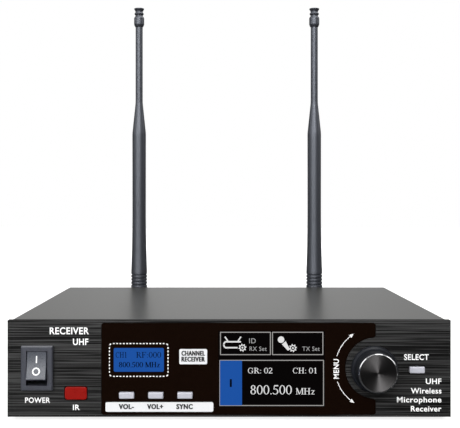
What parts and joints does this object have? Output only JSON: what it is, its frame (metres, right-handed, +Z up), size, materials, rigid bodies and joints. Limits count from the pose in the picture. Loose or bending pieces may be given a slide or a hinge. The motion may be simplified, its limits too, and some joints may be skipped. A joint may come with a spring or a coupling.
{
  "type": "wireless microphone receiver",
  "caption": "Half-rack desktop receiver for a wireless microphone, with a dark brushed panel, colour display, menu knob, power rocker and folding rod aerials.",
  "frame": {"origin": "on the surface the feet stand on, under the middle of the whole object's box", "axes": "+X along the width, to the right of someone facing the panel; +Y from the panel to the rear; +Z up"},
  "size_m": [0.212, 0.201, 0.2364],
  "materials": {
    "brushed_panel": "satin",
    "painted_steel": "satin",
    "black_acrylic": "gloss",
    "black_plastic": "satin",
    "grey_keys": "satin",
    "red_filter": "gloss",
    "lamp_resin": "gloss",
    "display_glass": "gloss",
    "spun_metal": "polished",
    "zinc_steel": "satin",
    "nickel_brass": "polished",
    "aerial_rubber": "matte",
    "foot_rubber": "matte",
    "circuit_board": "gloss",
    "cable_jacket": "satin"
  },
  "bodies": {
    "receiver": {"front_panel": "brushed_panel", "top_cover": "painted_steel", "chassis": "painted_steel", "fascia_lens": "black_acrylic", "switch_housing": "black_plastic", "vol_down_switch": "black_plastic", "vol_up_switch": "black_plastic", "sync_switch": "black_plastic", "select_switch": "black_plastic", "xlr_insert": "black_plastic", "jack_socket": "black_plastic", "dc_inlet": "black_plastic", "ir_window": "red_filter", "ir_emitter": "lamp_resin", "channel_display": "display_glass", "main_display": "display_glass", "cover_screw_front_left": "zinc_steel", "cover_screw_front_right": "zinc_steel", "cover_screw_rear_left": "zinc_steel", "cover_screw_rear_right": "zinc_steel", "xlr_screw_1": "zinc_steel", "xlr_screw_2": "zinc_steel", "encoder_body": "zinc_steel", "encoder_nut": "zinc_steel", "rf_shield_left": "zinc_steel", "rf_shield_right": "zinc_steel", "xlr_socket": "nickel_brass", "jack_nut": "nickel_brass", "aerial_socket_left": "nickel_brass", "aerial_socket_right": "nickel_brass", "socket_nut_left": "nickel_brass", "socket_nut_right": "nickel_brass", "foot_front_left": "foot_rubber", "foot_front_right": "foot_rubber", "foot_rear_left": "foot_rubber", "foot_rear_right": "foot_rubber", "front_board": "circuit_board", "main_board": "circuit_board", "ribbon_cable": "cable_jacket", "switch_lead": "cable_jacket", "aerial_lead_left": "cable_jacket", "aerial_lead_right": "cable_jacket"},
    "rocker": {"power_rocker": "black_plastic"},
    "menu_knob": {"knob": "black_plastic", "knob_face": "spun_metal", "encoder_shaft": "zinc_steel"},
    "vol_down_key": {"vol_down_button": "grey_keys"},
    "vol_up_key": {"vol_up_button": "grey_keys"},
    "sync_key": {"sync_button": "grey_keys"},
    "select_key": {"select_button": "grey_keys"},
    "left_ring": {"bayonet_ring_left": "nickel_brass"},
    "left_knuckle": {"aerial_knuckle_left": "black_plastic", "fold_pin_left": "nickel_brass"},
    "left_aerial": {"aerial_whip_left": "aerial_rubber", "aerial_tip_left": "aerial_rubber"},
    "right_ring": {"bayonet_ring_right": "nickel_brass"},
    "right_knuckle": {"aerial_knuckle_right": "black_plastic", "fold_pin_right": "nickel_brass"},
    "right_aerial": {"aerial_whip_right": "aerial_rubber", "aerial_tip_right": "aerial_rubber"}
  },
  "joints": [
    {"name": "rocker_tilt", "type": "hinge", "parent": "receiver", "child": "rocker", "pos_m": [-0.0908, -0.08497, 0.0253], "axis": [1, 0, 0], "range_deg": [0, 24]},
    {"name": "knob_turn", "type": "hinge", "parent": "receiver", "child": "menu_knob", "pos_m": [0.0687, -0.08897, 0.0247], "axis": [0, 1, 0], "continuous": true},
    {"name": "vol_down_press", "type": "slide", "parent": "receiver", "child": "vol_down_key", "axis": [0, 1, 0], "range_m": [0, 0.0005], "stiffness_N_per_m": 1500, "springref_m": -0.0003},
    {"name": "vol_up_press", "type": "slide", "parent": "receiver", "child": "vol_up_key", "axis": [0, 1, 0], "range_m": [0, 0.0005], "stiffness_N_per_m": 1500, "springref_m": -0.0003},
    {"name": "sync_press", "type": "slide", "parent": "receiver", "child": "sync_key", "axis": [0, 1, 0], "range_m": [0, 0.0005], "stiffness_N_per_m": 1500, "springref_m": -0.0003},
    {"name": "select_press", "type": "slide", "parent": "receiver", "child": "select_key", "axis": [0, 1, 0], "range_m": [0, 0.0005], "stiffness_N_per_m": 1500, "springref_m": -0.0003},
    {"name": "left_ring_turn", "type": "hinge", "parent": "receiver", "child": "left_ring", "pos_m": [-0.06, 0.08102, 0.027], "axis": [0, 1, 0], "range_deg": [0, 90]},
    {"name": "left_aerial_swing", "type": "hinge", "parent": "receiver", "child": "left_knuckle", "pos_m": [-0.06, 0.09502, 0.027], "axis": [0, 1, 0], "range_deg": [-90, 15]},
    {"name": "left_aerial_fold", "type": "hinge", "parent": "left_knuckle", "child": "left_aerial", "pos_m": [-0.06, 0.09502, 0.027], "axis": [-1, 0, 0], "range_deg": [0, 90]},
    {"name": "right_ring_turn", "type": "hinge", "parent": "receiver", "child": "right_ring", "pos_m": [0.06, 0.08102, 0.027], "axis": [0, 1, 0], "range_deg": [0, 90]},
    {"name": "right_aerial_swing", "type": "hinge", "parent": "receiver", "child": "right_knuckle", "pos_m": [0.06, 0.09502, 0.027], "axis": [0, 1, 0], "range_deg": [-15, 90]},
    {"name": "right_aerial_fold", "type": "hinge", "parent": "right_knuckle", "child": "right_aerial", "pos_m": [0.06, 0.09502, 0.027], "axis": [-1, 0, 0], "range_deg": [0, 90]}
  ]
}
